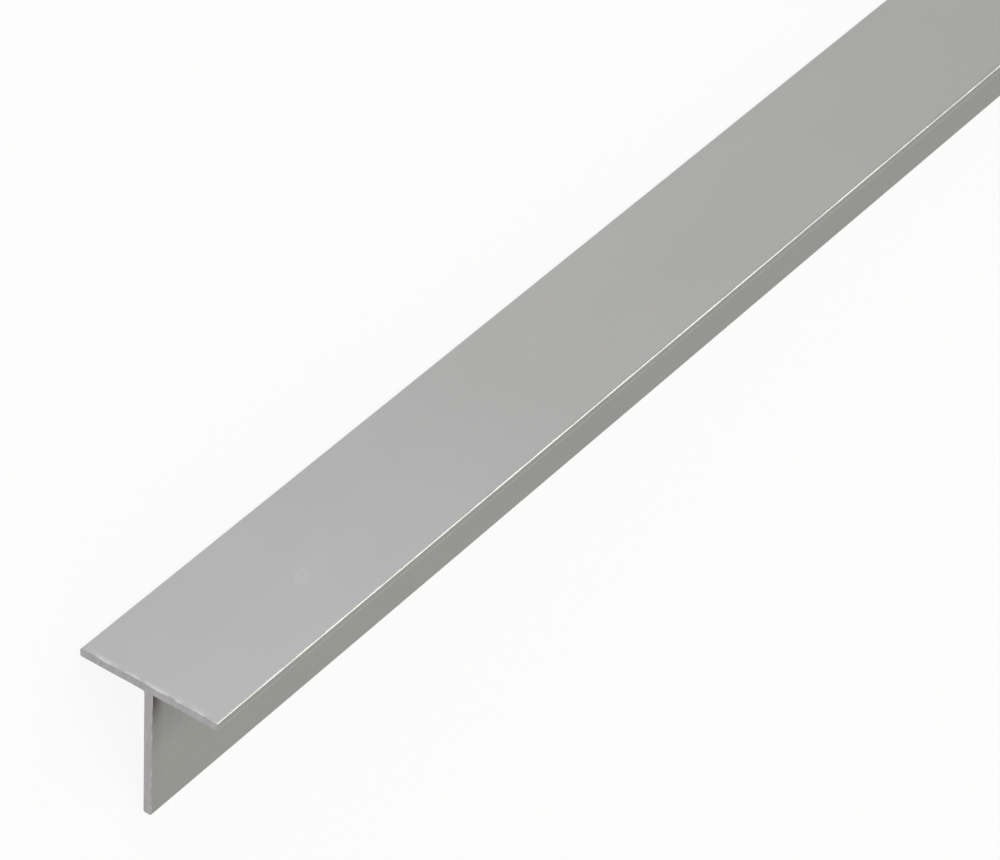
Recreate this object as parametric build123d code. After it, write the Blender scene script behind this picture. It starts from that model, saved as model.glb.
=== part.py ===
"""Equal T-section bar of extruded aluminium, a piece of shop stock with both ends sawn square.

The bar runs along Y and lies on the floor as it comes to rest: on the tip of its web and on one edge of its
flange, with the flange's broad outer face leaning back. The origin is on the floor, in the middle of the
bar's bounding box.
"""

import os
from math import atan2, degrees

from build123d import *

# Driving dimensions, in millimetres.
flange_width = 25.0  # across the top of the T
section_height = 25.0  # from the web's tip to the flange's outer face
flange_thickness = 1.5
web_thickness = 1.5
bar_length = 1000.0
edge_radius = 0.35  # the die's rounding on every outer corner of the section
root_radius = 0.3  # the fillet in each inner corner, where the web meets the flange


def t_outline():
    """The section upright: X across the flange, Y up the web, with the web's tip centred on the origin."""
    half_flange = flange_width / 2
    half_web = web_thickness / 2
    flange_underside = section_height - flange_thickness
    # Each corner is a point and the radius it is rounded to, in order round the outline.
    corners = [
        ((half_web, 0), edge_radius),
        ((half_web, flange_underside), root_radius),
        ((half_flange, flange_underside), edge_radius),
        ((half_flange, section_height), edge_radius),
        ((-half_flange, section_height), edge_radius),
        ((-half_flange, flange_underside), edge_radius),
        ((-half_web, flange_underside), root_radius),
        ((-half_web, 0), edge_radius),
    ]
    points = [point for point, _ in corners]
    radii = [radius for _, radius in corners]
    return make_face(FilletPolyline(*points, radius=radii, close=True))


def extruded_bar():
    """The section carried along Y and cut square at both ends, its middle at the origin."""
    section_plane = Plane.XZ.offset(-bar_length / 2)
    return extrude(section_plane * t_outline(), amount=bar_length)


def lean_to_rest():
    """Degrees from upright at which the bar bears on its web's tip and on its flange's lower edge.

    Both corners have the same rounding, so the floor is parallel to the line between the two sharp corners.
    """
    overhang = (flange_width - web_thickness) / 2
    web_reach = section_height - flange_thickness
    return degrees(atan2(web_reach, overhang))


def laid_down(bar):
    """The bar leaned over to its left and set with the middle of its box's underside on the origin."""
    leaned = Rot(Y=-lean_to_rest()) * bar
    box = leaned.bounding_box()
    return Pos(-box.center().X, -box.center().Y, -box.min.Z) * leaned


t_profile = laid_down(extruded_bar())

os.makedirs("parts", exist_ok=True)
export_step(t_profile, "parts/t_profile.step")
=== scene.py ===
"""Looks of an equal T-section bar of satin anodised aluminium, sawn square at both ends.

The bar's surface is drawn from the section's own sizes and stands for its plain solid. It adds what the
solid leaves out: the ragged arris round each sawn end, the faint lines that the die leaves along the bar,
the etched satin of the anodising, the saw's marks, the wear along the corners, which also paints their
glints, and one rub mark. It also paints shade into the roots, darkest in a wedge at each sawn end. All
lengths are in metres.
"""

import logging
import math
from dataclasses import dataclass, field
from enum import Enum

import bpy
import numpy as np
from mathutils import Matrix, Vector


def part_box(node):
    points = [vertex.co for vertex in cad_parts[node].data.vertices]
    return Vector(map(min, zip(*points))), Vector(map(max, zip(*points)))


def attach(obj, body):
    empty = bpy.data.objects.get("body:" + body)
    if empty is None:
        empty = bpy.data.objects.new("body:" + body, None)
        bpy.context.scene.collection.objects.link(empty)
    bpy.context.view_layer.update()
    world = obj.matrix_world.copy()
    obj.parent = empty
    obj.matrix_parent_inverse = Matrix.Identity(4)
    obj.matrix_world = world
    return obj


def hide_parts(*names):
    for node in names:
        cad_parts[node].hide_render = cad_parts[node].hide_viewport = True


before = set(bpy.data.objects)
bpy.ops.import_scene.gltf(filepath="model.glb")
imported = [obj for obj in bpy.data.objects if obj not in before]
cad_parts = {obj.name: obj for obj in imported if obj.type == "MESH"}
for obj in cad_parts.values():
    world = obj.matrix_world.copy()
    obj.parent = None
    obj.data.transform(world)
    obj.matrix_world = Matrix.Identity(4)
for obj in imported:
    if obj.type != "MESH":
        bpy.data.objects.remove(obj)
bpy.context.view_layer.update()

Colour = tuple[float, float, float]
Point = tuple[float, float, float]
Band = tuple[float, float]

LOG = logging.getLogger("t_bar")

NODE = "t_profile"
MICRON = 1e-6
MILLIMETRE = 1e-3


class Skin(Enum):
    """The bar's two finishes, numbered as its material slots are."""

    ANODISED = 0
    SAWN = 1


class CutEnd(Enum):
    """The bar's two sawn ends, each with the sign of the way it faces along Y."""

    NEAR = -1
    FAR = 1


@dataclass(frozen=True)
class Outline:
    """Points round the section, anticlockwise seen from the near end, with what the skin needs at each."""

    points: np.ndarray
    normals: np.ndarray
    travelled: np.ndarray
    edge_distance: np.ndarray
    root_distance: np.ndarray
    web_share: np.ndarray


@dataclass(frozen=True)
class TSection:
    """The section upright: X across the flange, Z up the web, with the web's tip centred on the origin."""

    flange_width: float = 25.0 * MILLIMETRE
    section_height: float = 25.0 * MILLIMETRE
    flange_thickness: float = 1.5 * MILLIMETRE
    web_thickness: float = 1.5 * MILLIMETRE
    edge_radius: float = 0.35 * MILLIMETRE
    root_radius: float = 0.3 * MILLIMETRE
    steps_round_a_corner: int = 8
    step_along_a_face: float = 0.4 * MILLIMETRE

    def corners(self) -> tuple[np.ndarray, np.ndarray]:
        """The sharp corners in order, and which way each one turns.

        Returns:
            The eight corners as rows of X and Z, and 1 for each outer corner and -1 for each inner one.
        """
        half_flange = self.flange_width / 2
        half_web = self.web_thickness / 2
        underside = self.section_height - self.flange_thickness
        points = np.array(
            [
                (half_web, 0.0),
                (half_web, underside),
                (half_flange, underside),
                (half_flange, self.section_height),
                (-half_flange, self.section_height),
                (-half_flange, underside),
                (-half_web, underside),
                (-half_web, 0.0),
            ]
        )
        return points, np.array([1.0, -1.0, 1.0, 1.0, 1.0, 1.0, -1.0, 1.0])

    def outline(self) -> Outline:
        """Rounds the corners and fills in the faces between them.

        Each corner is a quarter circle: its normal swings from the last face's to the next face's, as cosine
        and sine of the same angle, and the point is the circle's centre plus the radius along that normal,
        or minus it in an inner corner. Each face is divided evenly.

        Returns:
            The points with their outward normals, the share of the way round the outline up to each, the
            distances along the outline to the nearest outer corner and to the nearest inner one, and a share
            that is 1 on the web and falls to 0 round each inner corner.
        """
        sharp, turns = self.corners()
        radii = np.where(turns > 0, self.edge_radius, self.root_radius)
        ahead = np.roll(sharp, -1, axis=0) - sharp
        ahead /= np.linalg.norm(ahead, axis=1, keepdims=True)
        after = np.stack([ahead[:, 1], -ahead[:, 0]], axis=1)
        before = np.roll(after, 1, axis=0)
        reach = (turns * radii)[:, None]
        centres = sharp - reach * (before + after)
        swing = np.linspace(0.0, math.pi / 2, self.steps_round_a_corner + 1)[:, None]
        points, normals, middles = [], [], []
        travelled = 0.0
        for corner in range(len(sharp)):
            arc_normals = np.cos(swing) * before[corner] + np.sin(swing) * after[corner]
            arc = centres[corner] + reach[corner] * arc_normals
            following = (corner + 1) % len(sharp)
            face_end = centres[following] + reach[following] * before[following]
            gap = np.linalg.norm(face_end - arc[-1])
            parts = max(1, round(gap / self.step_along_a_face))
            share = np.arange(1, parts)[:, None] / parts
            points += [arc, arc[-1] + share * (face_end - arc[-1])]
            normals += [arc_normals, np.repeat(after[corner][None], parts - 1, axis=0)]
            quarter_circle = radii[corner] * math.pi / 2
            middles.append(travelled + quarter_circle / 2)
            travelled += quarter_circle + gap
        all_points = np.concatenate(points)
        steps = np.linalg.norm(np.roll(all_points, -1, axis=0) - all_points, axis=1)
        way = np.concatenate([[0.0], np.cumsum(steps)[:-1]])
        apart = np.abs(way[:, None] - np.array(middles)[None])
        apart = np.minimum(apart, travelled - apart)
        below_the_flange = self.section_height - self.flange_thickness - all_points[:, 1]
        return Outline(
            points=all_points,
            normals=np.concatenate(normals),
            travelled=way / steps.sum(),
            edge_distance=apart[:, turns > 0].min(axis=1),
            root_distance=apart[:, turns < 0].min(axis=1),
            web_share=np.clip(below_the_flange / self.root_radius, 0.0, 1.0),
        )

    def lean(self) -> float:
        """Angle from upright at which the web's tip and the flange's lower edge both bear on the floor."""
        overhang = (self.flange_width - self.web_thickness) / 2
        return math.atan2(self.section_height - self.flange_thickness, overhang)


@dataclass(frozen=True)
class Arris:
    """The small uneven corner that a saw and a stroke or two of a file leave round a cut end."""

    size: float = 0.15 * MILLIMETRE
    unevenness: float = 0.2
    waves: int = 150
    fall: float = 0.8
    least_share: float = 1 / 3
    most_share: float = 1.7
    steps: int = 4

    def round_the_outline(self, travelled: np.ndarray, seed: int) -> np.ndarray:
        """How far the arris reaches at each point of the outline.

        The reach is its usual size times one plus a sum of cosines with whole numbers of waves round the
        outline, each with a random phase and a strength of one over its number to the power of the fall.

        Args:
            travelled: The share of the way round the outline at each point.
            seed: The random phases' seed, one for each end.

        Returns:
            The reach at each point, held between the least and the most share of its usual size.
        """
        phases = np.random.default_rng(seed).uniform(0.0, 2 * math.pi, self.waves)
        number = np.arange(1, self.waves + 1)
        waves = np.cos(2 * math.pi * travelled[:, None] * number + phases) / number**self.fall
        reach = self.size * (1 + self.unevenness * waves.sum(axis=1))
        return np.clip(reach, self.size * self.least_share, self.size * self.most_share)


class Nodes:
    """Adds nodes to a shader tree from left to right and joins them."""

    column_width: int = 190
    row_height: int = 150
    rows: int = 5

    def __init__(self, tree: bpy.types.NodeTree) -> None:
        """Starts on an empty tree.

        Args:
            tree: The material's, world's or group's node tree.
        """
        self.tree = tree
        self.tree.nodes.clear()
        self.count = 0

    def add(self, kind: str, values: dict | None = None, **settings: object) -> bpy.types.Node:
        """Adds one node.

        Args:
            kind: The node's type, such as ShaderNodeMath.
            values: What goes into its input sockets, by name or number: a socket to join or a plain value.
            **settings: The node's own properties.

        Returns:
            The node.
        """
        node = self.tree.nodes.new(kind)
        node.location = (self.count * self.column_width, -(self.count % self.rows) * self.row_height)
        self.count += 1
        for name, setting in settings.items():
            setattr(node, name, setting)
        for socket, value in (values or {}).items():
            if isinstance(value, bpy.types.NodeSocket):
                self.tree.links.new(value, node.inputs[socket])
            else:
                node.inputs[socket].default_value = value
        return node

    def sum(
        self, kind: str, first: object, second: object = 0.0, third: object = 0.0
    ) -> bpy.types.NodeSocket:
        """One step of arithmetic on numbers.

        Args:
            kind: The operation, such as MULTIPLY.
            first: The first number or socket.
            second: The second, where the operation has one.
            third: The third, where the operation has one.

        Returns:
            The result's socket.
        """
        values = {0: first, 1: second, 2: third}
        return self.add("ShaderNodeMath", values, operation=kind).outputs[0]

    def balanced(self, noise: bpy.types.NodeSocket) -> bpy.types.NodeSocket:
        """A noise from 0 to 1 as one from -1 to 1."""
        return self.sum("MULTIPLY_ADD", noise, 2.0, -1.0)

    def spread(self, value: object, band: Band, to_low: object, to_high: float) -> bpy.types.NodeSocket:
        """Maps a band of numbers smoothly onto another one and holds it at both ends.

        Args:
            value: The number that is mapped.
            band: Where the band starts and stops.
            to_low: What the start becomes.
            to_high: What the stop becomes.

        Returns:
            The result's socket.
        """
        low, high = band
        values = {"Value": value, "From Min": low, "From Max": high, "To Min": to_low, "To Max": to_high}
        return self.add("ShaderNodeMapRange", values, interpolation_type="SMOOTHSTEP").outputs["Result"]

    def scaled(self, vector: object, by: object) -> bpy.types.NodeSocket:
        """A vector times another, component by component."""
        return self.add("ShaderNodeVectorMath", {0: vector, 1: by}, operation="MULTIPLY").outputs[0]

    def noise(
        self, vector: object, scale: object, detail: float, roughness: float = 0.5, swirl: float = 0.0
    ) -> bpy.types.NodeSocket:
        """Noise from 0 to 1 on a vector.

        Args:
            vector: The place.
            scale: How many waves there are in a unit of it.
            detail: How many finer levels are added.
            roughness: The share that each finer level has of the one before.
            swirl: How far the noise bends its own pattern.

        Returns:
            The noise's socket.
        """
        values = {"Vector": vector, "Scale": scale, "Detail": detail, "Roughness": roughness}
        return self.add("ShaderNodeTexNoise", values | {"Distortion": swirl}).outputs["Fac"]

    def measured(self, name: str) -> bpy.types.NodeSocket:
        """One of the distances that the bar's mesh holds at each point."""
        return self.add("ShaderNodeAttribute", attribute_name=name).outputs["Fac"]

    def shaded(self, tone: Colour, shade: bpy.types.NodeSocket) -> bpy.types.NodeSocket:
        """A tone times one shade for its three colours."""
        grey = self.add("ShaderNodeCombineXYZ", {0: shade, 1: shade, 2: shade}).outputs[0]
        return self.scaled(tone, grey)

    def mixed(
        self, share: bpy.types.NodeSocket, under: bpy.types.NodeSocket, over: Colour
    ) -> bpy.types.NodeSocket:
        """Goes from one colour to a plain one.

        Args:
            share: How much of the plain colour there is, from 0 to 1.
            under: The colour where there is none of it.
            over: The plain colour.

        Returns:
            The mixed colour's socket.
        """
        # Of the node's many sockets, inputs 6 and 7 and output 2 are its colours.
        values = {"Factor": share, 6: under, 7: (*over, 1.0)}
        return self.add("ShaderNodeMix", values, data_type="RGBA").outputs[2]

    def metal(
        self, colour: bpy.types.NodeSocket, roughness: bpy.types.NodeSocket, height: bpy.types.NodeSocket
    ) -> None:
        """Ends a finish's tree with a metal surface.

        Args:
            colour: Its colour.
            roughness: Its roughness.
            height: Its relief, in metres.
        """
        bump = self.add("ShaderNodeBump", {"Strength": 1.0, "Distance": 1.0, "Height": height})
        relief = bump.outputs["Normal"]
        values = {"Base Color": colour, "Metallic": 1.0, "Roughness": roughness, "Normal": relief}
        surface = self.add("ShaderNodeBsdfPrincipled", values)
        self.add("ShaderNodeOutputMaterial", {"Surface": surface.outputs["BSDF"]})


def empty_material(name: str) -> tuple[bpy.types.Material, Nodes]:
    """Starts a material.

    Args:
        name: The material's name.

    Returns:
        The material, and the empty tree to put its nodes in.
    """
    material = bpy.data.materials.new(name)
    material.use_nodes = True
    return material, Nodes(material.node_tree)


class Effect:
    """A shader effect, built once as a node group with named sockets and placed in each finish with it."""

    name: str = ""
    inputs: dict[str, float] = {}
    outputs: tuple[str, ...] = ()

    def __init__(self) -> None:
        """Makes the group with a place, its numbers and its results as sockets, and fills it."""
        self.group = bpy.data.node_groups.new(self.name, "ShaderNodeTree")
        sockets = self.group.interface
        sockets.new_socket(name="Place", in_out="INPUT", socket_type="NodeSocketVector")
        for name, usual in self.inputs.items():
            socket = sockets.new_socket(name=name, in_out="INPUT", socket_type="NodeSocketFloat")
            socket.default_value = usual
        for name in self.outputs:
            sockets.new_socket(name=name, in_out="OUTPUT", socket_type="NodeSocketFloat")
        desk = Nodes(self.group)
        given = desk.add("NodeGroupInput").outputs
        desk.add("NodeGroupOutput", self.fill(desk, given))

    def fill(self, desk: Nodes, given: bpy.types.NodeOutputs) -> dict[str, bpy.types.NodeSocket]:
        """Puts the effect's nodes in the group.

        Args:
            desk: The group's nodes.
            given: The sockets of the group's inputs.

        Returns:
            The socket for each of the group's outputs, by its name.
        """
        raise NotImplementedError

    def place(self, desk: Nodes, where: bpy.types.NodeSocket, **values: object) -> bpy.types.NodeOutputs:
        """Puts the effect in a material.

        Args:
            desk: The material's nodes.
            where: The socket with the place on the surface.
            **values: The group's numbers or the sockets that give them, by the inputs' names.

        Returns:
            The effect's results.
        """
        return desk.add("ShaderNodeGroup", {"Place": where} | values, node_tree=self.group).outputs


class DieLines(Effect):
    """Fine lines that run the length of the bar, as the die draws them in the metal."""

    name = "die_lines"
    inputs = {"Gap": 0.3 * MILLIMETRE, "Run": 300.0 * MILLIMETRE}
    outputs = ("Height", "Scores")
    score_stretch: Point = (0.45, 2.2, 0.45)
    score_band: Band = (0.66, 0.76)

    def fill(self, desk: Nodes, given: bpy.types.NodeOutputs) -> dict[str, bpy.types.NodeSocket]:
        """Stretches noise along Y for the lines, and a wider, shorter one for the few deeper scores.

        Args:
            desk: The group's nodes.
            given: The sockets of the group's inputs.

        Returns:
            The lines from -1 to 1, and the scores from 0 to 1 where the second noise peaks.
        """
        across = desk.sum("DIVIDE", 1.0, given["Gap"])
        along = desk.sum("DIVIDE", 1.0, given["Run"])
        stretch = desk.add("ShaderNodeCombineXYZ", {"X": across, "Y": along, "Z": across}).outputs[0]
        place = desk.scaled(given["Place"], stretch)
        fine = desk.noise(place, 1.0, detail=3.0, roughness=0.6)
        sparse = desk.noise(desk.scaled(place, self.score_stretch), 1.0, detail=1.0)
        return {"Height": desk.balanced(fine), "Scores": desk.spread(sparse, self.score_band, 0.0, 1.0)}


class EtchedGrain(Effect):
    """The even, fine tooth of an etched surface, with a slow drift from place to place."""

    name = "etched_grain"
    inputs = {"Size": 0.06 * MILLIMETRE}
    outputs = ("Height", "Drift")
    drift_sizes: float = 25.0

    def fill(self, desk: Nodes, given: bpy.types.NodeOutputs) -> dict[str, bpy.types.NodeSocket]:
        """Adds noise at the grain's own size, and one as many sizes wide as the drift is.

        Args:
            desk: The group's nodes.
            given: The sockets of the group's inputs.

        Returns:
            The grain and the drift, each from -1 to 1.
        """
        place, size = given["Place"], given["Size"]
        fine = desk.noise(place, desk.sum("DIVIDE", 1.0, size), detail=2.0)
        wide = desk.noise(place, desk.sum("DIVIDE", 1.0 / self.drift_sizes, size), detail=2.0)
        return {"Height": desk.balanced(fine), "Drift": desk.balanced(wide)}


class Clouding(Effect):
    """Broad faint clouds, longer along the bar than across it, with a few small dull smudges."""

    name = "clouding"
    inputs = {"Size": 16.0 * MILLIMETRE}
    outputs = ("Clouds", "Smudges")
    drawn_out: Point = (1.0, 0.55, 1.0)
    smudges_in_a_cloud: float = 3.5
    smudge_band: Band = (0.62, 0.74)

    def fill(self, desk: Nodes, given: bpy.types.NodeOutputs) -> dict[str, bpy.types.NodeSocket]:
        """Adds slow noise for the clouds, and a smaller, swirled one for the smudges.

        Args:
            desk: The group's nodes.
            given: The sockets of the group's inputs.

        Returns:
            The clouds from -1 to 1, and the smudges from 0 to 1 where the second noise peaks.
        """
        size = desk.sum("DIVIDE", 1.0, given["Size"])
        place = desk.scaled(given["Place"], self.drawn_out)
        slow = desk.noise(place, size, detail=2.0)
        smaller = desk.sum("MULTIPLY", size, self.smudges_in_a_cloud)
        small = desk.noise(place, smaller, detail=3.0, swirl=0.6)
        return {"Clouds": desk.balanced(slow), "Smudges": desk.spread(small, self.smudge_band, 0.0, 1.0)}


class CornerWear(Effect):
    """Where handling has rubbed an outer corner, which also paints a glint there: patchy, and never wider
    than its reach.
    """

    name = "corner_wear_and_glint"
    inputs = {"Distance": 0.0, "Reach": 0.25 * MILLIMETRE, "Patch": 4.0 * MILLIMETRE, "Least": 0.55}
    outputs = ("WearAndGlint",)
    patch_band: Band = (0.4, 0.62)

    def fill(self, desk: Nodes, given: bpy.types.NodeOutputs) -> dict[str, bpy.types.NodeSocket]:
        """Multiplies what falls from one at the corner to nothing at the reach by a patchy noise.

        Args:
            desk: The group's nodes.
            given: The sockets of the group's inputs.

        Returns:
            The wear, which also paints a glint. At the corner it is from the least to 1.
        """
        share = desk.sum("DIVIDE", given["Distance"], given["Reach"])
        near = desk.spread(share, (0.0, 1.0), 1.0, 0.0)
        noise = desk.noise(given["Place"], desk.sum("DIVIDE", 1.0, given["Patch"]), detail=3.0)
        patches = desk.spread(noise, self.patch_band, given["Least"], 1.0)
        return {"WearAndGlint": desk.sum("MULTIPLY", near, patches)}


@dataclass
class Effects:
    """The effects that the finishes place in their trees."""

    die_lines: DieLines = field(default_factory=DieLines)
    grain: EtchedGrain = field(default_factory=EtchedGrain)
    clouding: Clouding = field(default_factory=Clouding)
    wear: CornerWear = field(default_factory=CornerWear)


@dataclass(frozen=True)
class RubMark:
    """A faint oval on the flange's outer face, where something has rubbed the satin a little lighter."""

    centre: Point = (-7.52 * MILLIMETRE, -467.77 * MILLIMETRE, 13.8 * MILLIMETRE)
    half_length: float = 2.1 * MILLIMETRE
    half_width: float = 1.25 * MILLIMETRE
    turn_degrees: float = -52.0
    middle_strength: float = 0.3
    rise: Band = (0.1, 0.6)
    fade: Band = (0.7, 1.0)
    patch: float = 1.2 * MILLIMETRE
    patch_band: Band = (0.35, 0.6)
    patch_least: float = 0.4

    def mask(self, desk: Nodes, place: bpy.types.NodeSocket) -> bpy.types.NodeSocket:
        """Works out where the mark is, from each point's share of the way to the oval's edge.

        The oval's length is turned in the face, from across the flange towards the near end. Its strength
        rises from the middle's to 1 on a patchy rim, and falls to nothing at the oval's edge.

        Args:
            desk: The finish's nodes.
            place: The socket with the place on the surface.

        Returns:
            The mark's strength.
        """
        in_the_face = Matrix.Rotation(math.radians(self.turn_degrees), 3, "Z")
        turned = Matrix.Rotation(-TSection().lean(), 3, "Y") @ in_the_face
        spans = {
            "Vector": place,
            "Location": self.centre,
            "Rotation": turned.to_euler(),
            "Scale": (self.half_length, self.half_width, self.half_width),
        }
        oval = desk.add("ShaderNodeMapping", spans, vector_type="TEXTURE").outputs["Vector"]
        share = desk.add("ShaderNodeVectorMath", {0: oval}, operation="LENGTH").outputs["Value"]
        rising = desk.spread(share, self.rise, self.middle_strength, 1.0)
        whole = desk.sum("MULTIPLY", rising, desk.spread(share, self.fade, 1.0, 0.0))
        noise = desk.noise(place, 1.0 / self.patch, detail=2.0)
        return desk.sum("MULTIPLY", whole, desk.spread(noise, self.patch_band, self.patch_least, 1.0))


@dataclass(frozen=True)
class SatinAnodised:
    """Silver anodising over etched aluminium, as the die and the bath leave the bar's long faces."""

    tone: Colour = (0.43, 0.43, 0.425)
    # Rubbed corners and saw nicks: real wear, and also painted glints and a light line along the corners.
    rubbed_and_glint_tone: Colour = (0.77, 0.77, 0.76)
    # Painted shade: the near-black tone of the dark wedge in each root at a sawn end.
    shade_wedge_tone: Colour = (0.075, 0.068, 0.07)
    roughness: float = 0.34
    line_gap: float = 0.3 * MILLIMETRE
    line_run: float = 350.0 * MILLIMETRE
    line_height: float = 0.5 * MICRON
    line_shade: float = 0.02
    score_depth: float = 0.5 * MICRON
    grain_size: float = 0.07 * MILLIMETRE
    grain_height: float = 0.22 * MICRON
    grain_roughness: float = 0.02
    cloud_size: float = 18.0 * MILLIMETRE
    cloud_shade: float = 0.035
    cloud_roughness: float = 0.03
    smudge_shade: float = -0.015
    smudge_roughness: float = 0.03
    corner_reach: float = 0.28 * MILLIMETRE
    nick_reach: float = 1.1 * MILLIMETRE
    nick_patch: float = 2.2 * MILLIMETRE
    nick_share: float = 0.38
    worn_roughness: float = 0.08
    # Painted shade in each root at a sawn end, and in a fringe of it down the web's end.
    shade_wedge_down_the_web: float = 7.5 * MILLIMETRE
    shade_wedge_along_the_bar: float = 3.3 * MILLIMETRE
    fringe_shade: float = -0.11
    fringe_down_the_web: Band = (6.0 * MILLIMETRE, 14.0 * MILLIMETRE)
    fringe_along_the_bar: Band = (1.2 * MILLIMETRE, 2.8 * MILLIMETRE)
    fringe_least: float = 0.42
    # Painted shade: how much darker the tone is at the roots, and the band over which it fades.
    root_shade_strength: float = 0.19
    root_shade_band: Band = (4.0 * MILLIMETRE, 14.0 * MILLIMETRE)
    rub_mark: RubMark = field(default_factory=RubMark)
    rub_shade: float = 0.06

    def material(self, effects: Effects) -> bpy.types.Material:
        """Makes the finish.

        The tone drifts by a few hundredths with the clouds and the die's lines, is a little lighter in the
        rub mark, and is darkened towards the roots by painted shade. It lightens where corners are rubbed and
        where the saw has nicked the flange beside its cut: wear that also paints glints and a light line
        along the corners. Painted shade darkens a small wedge in each root at a sawn end, and a little of it
        goes on in a fringe down the web's end. Lines, scores and grain add up to one height in metres.

        Args:
            effects: The shared node groups.

        Returns:
            The material.
        """
        material, desk = empty_material("satin_anodised")
        place = desk.add("ShaderNodeTexCoord").outputs["Object"]
        lines = effects.die_lines.place(desk, place, Gap=self.line_gap, Run=self.line_run)
        grain = effects.grain.place(desk, place, Size=self.grain_size)
        clouds = effects.clouding.place(desk, place, Size=self.cloud_size)
        from_edge = desk.measured("edge_distance")
        from_root = desk.measured("root_distance")
        from_end = desk.measured("end_distance")
        web = desk.measured("web_share")
        # Corner wear and saw nicks beside the cut, which also paint glints and a light line along the
        # corners.
        handled_and_glinting = effects.wear.place(desk, place, Distance=from_edge, Reach=self.corner_reach)["WearAndGlint"]
        nicks_and_glints = effects.wear.place(
            desk, place, Distance=from_end, Reach=self.nick_reach, Patch=self.nick_patch, Least=0.0
        )["WearAndGlint"]
        off_the_web = desk.sum("MULTIPLY_ADD", web, -self.nick_share, self.nick_share)
        worn_and_glinting = desk.sum("MAXIMUM", handled_and_glinting, desk.sum("MULTIPLY", nicks_and_glints, off_the_web))
        # Painted shade: a dark wedge in each root, near each sawn end.
        down = desk.spread(from_root, (0.0, self.shade_wedge_down_the_web), 1.0, 0.0)
        along = desk.spread(from_end, (0.0, self.shade_wedge_along_the_bar), 1.0, 0.0)
        shade_wedge = desk.sum("MULTIPLY", down, along)
        # Painted shade: a fringe beside each cut that goes on from the wedge down the web, paling away from
        # the root.
        paling = desk.spread(from_root, self.fringe_down_the_web, 1.0, self.fringe_least)
        fringe = desk.sum("MULTIPLY", paling, desk.spread(from_end, self.fringe_along_the_bar, 1.0, 0.0))
        fringe = desk.sum("MULTIPLY", fringe, web)

        shade = desk.sum("MULTIPLY_ADD", clouds["Clouds"], self.cloud_shade, 1.0)
        shade = desk.sum("MULTIPLY_ADD", lines["Height"], self.line_shade, shade)
        shade = desk.sum("MULTIPLY_ADD", clouds["Smudges"], self.smudge_shade, shade)
        shade = desk.sum("MULTIPLY_ADD", self.rub_mark.mask(desk, place), self.rub_shade, shade)
        # The fringe of painted shade darkens the tone here.
        shade = desk.sum("MULTIPLY_ADD", fringe, self.fringe_shade, shade)
        # Painted shade that darkens the tone towards the roots.
        root_shade = desk.spread(from_root, self.root_shade_band, 1.0 - self.root_shade_strength, 1.0)
        tone = desk.shaded(self.tone, desk.sum("MULTIPLY", shade, root_shade))
        # The dark wedge of painted shade is mixed in over everything else.
        colour = desk.mixed(shade_wedge, desk.mixed(worn_and_glinting, tone, self.rubbed_and_glint_tone), self.shade_wedge_tone)

        rough = desk.sum("MULTIPLY_ADD", clouds["Clouds"], self.cloud_roughness, self.roughness)
        rough = desk.sum("MULTIPLY_ADD", grain["Drift"], self.grain_roughness, rough)
        rough = desk.sum("MULTIPLY_ADD", clouds["Smudges"], self.smudge_roughness, rough)
        rough = desk.sum("MULTIPLY_ADD", worn_and_glinting, self.worn_roughness, rough)

        height = desk.sum("MULTIPLY", lines["Height"], self.line_height)
        height = desk.sum("MULTIPLY_ADD", lines["Scores"], -self.score_depth, height)
        height = desk.sum("MULTIPLY_ADD", grain["Height"], self.grain_height, height)
        desk.metal(colour, rough, height)
        return material


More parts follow.
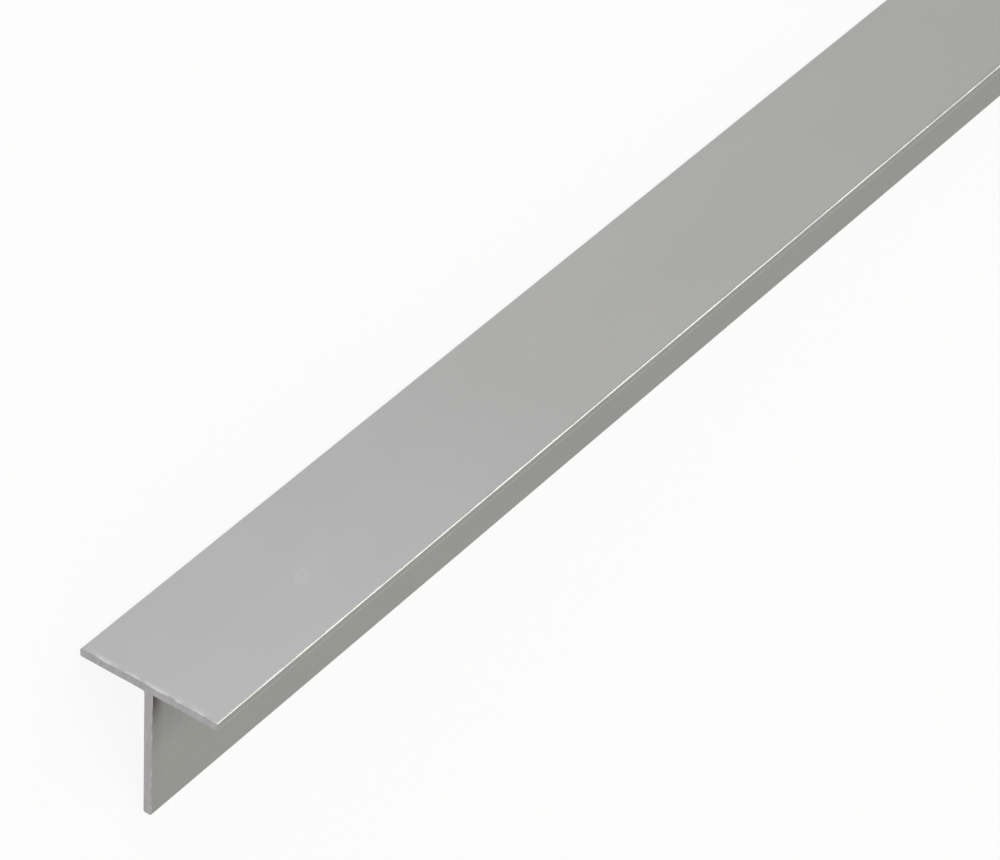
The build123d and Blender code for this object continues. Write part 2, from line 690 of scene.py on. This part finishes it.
@dataclass(frozen=True)
class SawnMetal:
    """Bare aluminium as the saw leaves it, on the two cut ends and on the arris round them.

    The blade's axis is given across and above the bar's origin, as shares of the blade's radius.
    """

    tone: Colour = (0.378, 0.367, 0.373)
    # Rubbed arris: real wear, and also painted glints along it.
    rubbed_and_glint_tone: Colour = (0.8, 0.8, 0.8)
    roughness: float = 0.42
    blade_radius: float = 125.0 * MILLIMETRE
    axis_across: float = 0.55
    axis_above: float = 0.83
    mark_gap: float = 0.55 * MILLIMETRE
    mark_shade: float = 0.32
    mark_height: float = 3.0 * MICRON
    mark_roughness: float = 0.05
    grain_size: float = 0.09 * MILLIMETRE
    grain_shade: float = 0.05
    grain_height: float = 0.5 * MICRON
    grain_roughness: float = 0.05
    rim_reach: float = 0.09 * MILLIMETRE
    rim_patch: float = 1.8 * MILLIMETRE
    web_rub_share: float = 0.45

    def marks(self, desk: Nodes, place: bpy.types.NodeSocket) -> bpy.types.NodeSocket:
        """Draws the saw's marks as wide arcs across the section, with uneven gaps.

        They are a noise of the distance from the blade's axis alone.

        Args:
            desk: The finish's nodes.
            place: The socket with the place on the surface.

        Returns:
            The marks, from -1 to 1.
        """
        axis = (self.blade_radius * self.axis_across, 0.0, self.blade_radius * self.axis_above)
        flat = desk.scaled(place, (1.0, 0.0, 1.0))
        reach = desk.add("ShaderNodeVectorMath", {0: flat, 1: axis}, operation="DISTANCE").outputs["Value"]
        values = {"W": reach, "Scale": 1.0 / self.mark_gap, "Detail": 4.0, "Roughness": 0.65}
        return desk.balanced(desk.add("ShaderNodeTexNoise", values, noise_dimensions="1D").outputs["Fac"])

    def material(self, effects: Effects) -> bpy.types.Material:
        """Makes the finish.

        The saw's marks and the grain vary its tone, roughness and height, and the arris is rubbed lighter in
        patches, less so on the web: wear that also paints glints on the arris.

        Args:
            effects: The shared node groups.

        Returns:
            The material.
        """
        material, desk = empty_material("sawn_metal")
        place = desk.add("ShaderNodeTexCoord").outputs["Object"]
        grain = effects.grain.place(desk, place, Size=self.grain_size)
        from_rim = desk.measured("rim_distance")
        # The arris's wear, which also paints glints on it.
        worn_and_glinting = effects.wear.place(
            desk, place, Distance=from_rim, Reach=self.rim_reach, Patch=self.rim_patch, Least=0.0
        )["WearAndGlint"]
        web = desk.measured("web_share")
        worn_and_glinting = desk.sum("MULTIPLY", worn_and_glinting, desk.sum("MULTIPLY_ADD", web, self.web_rub_share - 1.0, 1.0))
        marks = self.marks(desk, place)

        shade = desk.sum("MULTIPLY_ADD", marks, self.mark_shade, 1.0)
        shade = desk.sum("MULTIPLY_ADD", grain["Drift"], self.grain_shade, shade)
        colour = desk.mixed(worn_and_glinting, desk.shaded(self.tone, shade), self.rubbed_and_glint_tone)

        rough = desk.sum("MULTIPLY_ADD", grain["Drift"], self.grain_roughness, self.roughness)
        rough = desk.sum("MULTIPLY_ADD", marks, self.mark_roughness, rough)

        height = desk.sum("MULTIPLY", marks, self.mark_height)
        height = desk.sum("MULTIPLY_ADD", grain["Height"], self.grain_height, height)
        desk.metal(colour, rough, height)
        return material


@dataclass
class TBar:
    """The whole bar: the section carried along Y between two sawn ends, leaned over as it lies."""

    section: TSection = field(default_factory=TSection)
    arris: Arris = field(default_factory=Arris)
    near_seed: int = 4
    far_seed: int = 9
    station_gap: float = 20.0 * MILLIMETRE
    skin: SatinAnodised = field(default_factory=SatinAnodised)
    cut: SawnMetal = field(default_factory=SawnMetal)

    def rings(self, outline: Outline, low: float, high: float) -> tuple[np.ndarray, np.ndarray, np.ndarray]:
        """Carries the outline from one cut face to the other.

        Round each end the arris is a quarter turn: at angle a from the long face, a point is drawn in by the
        reach times one minus the cosine of a, and stands back from the cut by the reach times one minus the
        sine of a. Between the ends the outline is carried unchanged.

        Args:
            outline: The section's outline.
            low: Where the near cut is along Y.
            high: Where the far cut is.

        Returns:
            For each ring and each point of the outline: its place along Y, how far it is drawn in, and the
            share of the cut's direction in its normal, negative at the near end.
        """
        angle = np.linspace(math.pi / 2, 0.0, self.arris.steps + 1)[:, None]
        back, drawn_in = 1 - np.sin(angle), 1 - np.cos(angle)
        near = self.arris.round_the_outline(outline.travelled, self.near_seed)
        far = self.arris.round_the_outline(outline.travelled, self.far_seed)
        between = round((high - low) / self.station_gap)
        stations = np.linspace(low, high, between + 1)[1:-1, None]
        middle = np.broadcast_to(stations, (len(stations), len(near)))
        nothing = np.zeros(middle.shape)
        turn = np.broadcast_to(np.sin(angle), (len(angle), len(near)))
        along = np.concatenate([low + near * back, middle, high - (far * back)[::-1]])
        inward = np.concatenate([near * drawn_in, nothing, (far * drawn_in)[::-1]])
        facing = np.concatenate([CutEnd.NEAR.value * turn, nothing, CutEnd.FAR.value * turn[::-1]])
        return along, inward, facing

    def leaned(self, upright: np.ndarray) -> np.ndarray:
        """Turns the upright section about Y: each X and Z times the lean's cosines and sines.

        Args:
            upright: X and Z in the last axis.

        Returns:
            X and Z of the section as it lies, in the same shape.
        """
        lean = self.section.lean()
        turn = np.array([[math.cos(lean), math.sin(lean)], [-math.sin(lean), math.cos(lean)]])
        return upright @ turn

    def into_the_box(self, outline: Outline, low: np.ndarray, high: np.ndarray) -> np.ndarray:
        """How far the leaned section moves to be in the middle of the solid's box and on its floor.

        Args:
            outline: The section's outline.
            low: The box's lowest corner.
            high: The box's highest corner.

        Returns:
            The move along X and Z.
        """
        whole = self.leaned(outline.points)
        left, lowest = whole.min(axis=0)
        centre = (left + whole.max(axis=0)[0]) / 2
        return np.array([(low[0] + high[0]) / 2 - centre, low[2] - lowest])

    def faces(self, ring_count: int, ring_size: int) -> tuple[list[list[int]], np.ndarray]:
        """Joins each ring to the next with four-sided faces and closes the two ends.

        Args:
            ring_count: How many rings there are.
            ring_size: How many points each has.

        Returns:
            The faces as rows of points, the near and the far end last, and each face's finish.
        """
        ring = np.arange(ring_size)
        following = np.roll(ring, -1)
        here = np.arange(ring_count - 1)[:, None] * ring_size
        there = here + ring_size
        quads = np.stack([here + ring, there + ring, there + following, here + following], axis=-1)
        caps = [ring.tolist(), ((ring_count - 1) * ring_size + ring)[::-1].tolist()]
        stretch = np.repeat(np.arange(ring_count - 1), ring_size)
        on_arris = (stretch < self.arris.steps) | (stretch >= ring_count - 1 - self.arris.steps)
        skins = np.where(on_arris, Skin.SAWN.value, Skin.ANODISED.value)
        skins = np.concatenate([skins, [Skin.SAWN.value] * len(caps)]).astype(np.int32)
        return quads.reshape(-1, 4).tolist() + caps, skins

    def build(self) -> bpy.types.Object:
        """Makes the bar's closed surface where its solid is.

        A point is the outline's own, less its way inward along its normal, leaned over and moved into the
        solid's box. Its normal is the outline's, leaned over, times the root of one less the square of the
        normal's share along Y, with that share along Y.

        Returns:
            The bar, without its materials.
        """
        low, high = (np.array(corner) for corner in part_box(NODE))
        outline = self.section.outline()
        along, inward, facing = self.rings(outline, low[1], high[1])
        flat = outline.points[None] - inward[..., None] * outline.normals[None]
        lying = self.leaned(flat) + self.into_the_box(outline, low, high)
        places = np.stack([lying[..., 0], along, lying[..., 1]], axis=-1).reshape(-1, 3)
        side = self.leaned(outline.normals)[None] * np.sqrt(1 - facing**2)[..., None]
        normals = np.stack([side[..., 0], facing, side[..., 1]], axis=-1).reshape(-1, 3)

        faces, skins = self.faces(*along.shape)
        mesh = bpy.data.meshes.new("anodised_t_bar")
        mesh.from_pydata(places.tolist(), [], faces)
        mesh.polygons.foreach_set("material_index", skins)
        mesh.polygons.foreach_set("use_smooth", np.ones(len(skins), dtype=bool))
        # The rim's distance is nothing where the normal's share along Y is a half, and half the arris's size
        # on the flat cut.
        measures = {
            "edge_distance": np.broadcast_to(outline.edge_distance, along.shape),
            "root_distance": np.broadcast_to(outline.root_distance, along.shape),
            "web_share": np.broadcast_to(outline.web_share, along.shape),
            "end_distance": np.minimum(along - low[1], high[1] - along),
            "rim_distance": np.abs(np.abs(facing) - 0.5) * self.arris.size,
        }
        for name, values in measures.items():
            layer = mesh.attributes.new(name, "FLOAT", "POINT")
            layer.data.foreach_set("value", values.astype(np.float32).ravel())
        mesh.normals_split_custom_set_from_vertices(normals.tolist())
        mesh.update()
        bar = bpy.data.objects.new("anodised_t_bar", mesh)
        bpy.context.scene.collection.objects.link(bar)
        return bar

    def dress(self, bar: bpy.types.Object, effects: Effects) -> None:
        """Puts the two finishes on the bar, in the order of its slots, and lets it stand for the solid.

        Args:
            bar: The bar's surface.
            effects: The shared node groups.
        """
        finishes = {Skin.ANODISED: self.skin, Skin.SAWN: self.cut}
        for finish in Skin:
            bar.data.materials.append(finishes[finish].material(effects))
        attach(bar, "root")
        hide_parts(NODE)


@dataclass(frozen=True)
class PaleFloor:
    """A plain white floor that keeps the bar's shadow, pale."""

    half_side: float = 20.0
    tone: Colour = (0.82, 0.82, 0.82)
    white_share: float = 0.9

    def build(self) -> bpy.types.Object:
        """Makes the floor, level with the bar's underside.

        Where the camera, a reflection or a clear ray meets it, most of it is plain white and the rest is lit,
        so that the shadow stays.

        Returns:
            The floor.
        """
        side = self.half_side
        corners = [(-side, -side, 0), (side, -side, 0), (side, side, 0), (-side, side, 0)]
        mesh = bpy.data.meshes.new("studio_floor")
        mesh.from_pydata(corners, [], [(0, 1, 2, 3)])
        floor = bpy.data.objects.new("studio_floor", mesh)
        bpy.context.scene.collection.objects.link(floor)
        material, desk = empty_material("studio_white")
        material.cycles.emission_sampling = "NONE"
        ray = desk.add("ShaderNodeLightPath").outputs
        seen = desk.sum("MAXIMUM", ray["Is Camera Ray"], ray["Is Glossy Ray"])
        seen = desk.sum("MAXIMUM", seen, ray["Is Transmission Ray"])
        share = desk.sum("MULTIPLY", seen, self.white_share)
        lit = desk.add("ShaderNodeBsdfDiffuse", {"Color": (*self.tone, 1.0)}).outputs["BSDF"]
        white = desk.add("ShaderNodeEmission", {"Color": (1.0, 1.0, 1.0, 1.0), "Strength": 1.0})
        mixed = desk.add("ShaderNodeMixShader", {0: share, 1: lit, 2: white.outputs["Emission"]})
        desk.add("ShaderNodeOutputMaterial", {"Surface": mixed.outputs["Shader"]})
        mesh.materials.append(material)
        return floor


@dataclass(frozen=True)
class SoftLamp:
    """A rectangular soft lamp that faces a point."""

    name: str
    place: Point
    aim: Point
    width: float
    height: float
    power: float
    colour: Colour

    def build(self) -> bpy.types.Object:
        """Makes the lamp, unseen by the camera.

        Returns:
            The lamp.
        """
        light = bpy.data.lights.new(self.name, "AREA")
        light.shape = "RECTANGLE"
        light.size, light.size_y = self.width, self.height
        light.energy = self.power
        light.color = self.colour
        lamp = bpy.data.objects.new(self.name, light)
        lamp.location = self.place
        lamp.rotation_euler = (Vector(self.aim) - Vector(self.place)).to_track_quat("-Z", "Y").to_euler()
        lamp.visible_camera = False
        bpy.context.scene.collection.objects.link(lamp)
        return lamp


@dataclass(frozen=True)
class Studio:
    """Plain soft light round the bar."""

    room_tone: Colour = (1.0, 0.99, 0.915)
    room_strength: float = 0.715
    room_fall: float = 0.42
    floor: PaleFloor = field(default_factory=PaleFloor)
    lamps: tuple[SoftLamp, ...] = (
        SoftLamp(
            name="side_lamp",
            place=(-0.85, -0.22, 0.24),
            aim=(0.0, -0.46, 0.02),
            width=0.6,
            height=0.45,
            power=1.4,
            colour=(1.0, 0.93, 1.06),
        ),
        SoftLamp(
            name="top_lamp",
            place=(0.27, 0.28, 0.98),
            aim=(0.0, -0.42, 0.02),
            width=1.5,
            height=0.65,
            power=4.8,
            colour=(1.0, 1.0, 0.97),
        ),
    )

    def build(self) -> None:
        """Makes the world's light, the floor and the lamps, and sets the plain view transform.

        The world's light falls slowly along Y: its strength times one minus the fall times the direction's Y.
        """
        world = bpy.data.worlds.new("studio")
        world.use_nodes = True
        desk = Nodes(world.node_tree)
        direction = desk.add("ShaderNodeTexCoord").outputs["Generated"]
        along = desk.add("ShaderNodeSeparateXYZ", {0: direction}).outputs["Y"]
        share = desk.sum("MULTIPLY_ADD", along, -self.room_fall, 1.0)
        strength = desk.sum("MULTIPLY", share, self.room_strength)
        room = desk.add("ShaderNodeBackground", {"Color": (*self.room_tone, 1.0), "Strength": strength})
        desk.add("ShaderNodeOutputWorld", {"Surface": room.outputs["Background"]})
        bpy.context.scene.world = world
        bpy.context.scene.view_settings.view_transform = "Standard"
        self.floor.build()
        for lamp in self.lamps:
            lamp.build()


@dataclass(frozen=True)
class PhotoCamera:
    """The camera at the photograph's angle, turned so that the leaning bar looks upright."""

    place: Point = (-0.3073172, -0.9352175, 0.5537956)
    aim: Point = (-0.0063788, -0.4224009, 0.0158927)
    roll_degrees: float = -91.5149
    lens: float = 192.253
    sensor: float = 36.0
    clip: Band = (0.01, 100.0)

    def build(self) -> bpy.types.Object:
        """Makes the scene's camera.

        Unrolled, its right is the upward axis crossed with its backward axis. A positive roll turns its up
        towards its right.

        Returns:
            The camera.
        """
        data = bpy.data.cameras.new("photo_camera")
        data.lens = self.lens
        data.sensor_width = self.sensor
        data.clip_start, data.clip_end = self.clip
        back = (Vector(self.place) - Vector(self.aim)).normalized()
        right = Vector((0.0, 0.0, 1.0)).cross(back).normalized()
        up = back.cross(right)
        roll = math.radians(self.roll_degrees)
        up = up * math.cos(roll) + right * math.sin(roll)
        right = up.cross(back)
        turned = Matrix((right, up, back)).transposed().to_4x4()
        camera = bpy.data.objects.new("photo_camera", data)
        camera.matrix_world = Matrix.Translation(self.place) @ turned
        bpy.context.scene.collection.objects.link(camera)
        bpy.context.scene.camera = camera
        return camera


def main() -> None:
    """Builds the camera, the studio and the bar, in that order, and reports each."""
    logging.basicConfig(level=logging.INFO, format="%(name)s: %(message)s")
    PhotoCamera().build()
    LOG.info("camera at the photograph's angle")
    Studio().build()
    LOG.info("floor, room light and lamps")
    bar_maker = TBar()
    bar = bar_maker.build()
    bar_maker.dress(bar, Effects())
    LOG.info("bar with %d faces and %d finishes", len(bar.data.polygons), len(bar.data.materials))


if __name__ == "__main__":
    main()
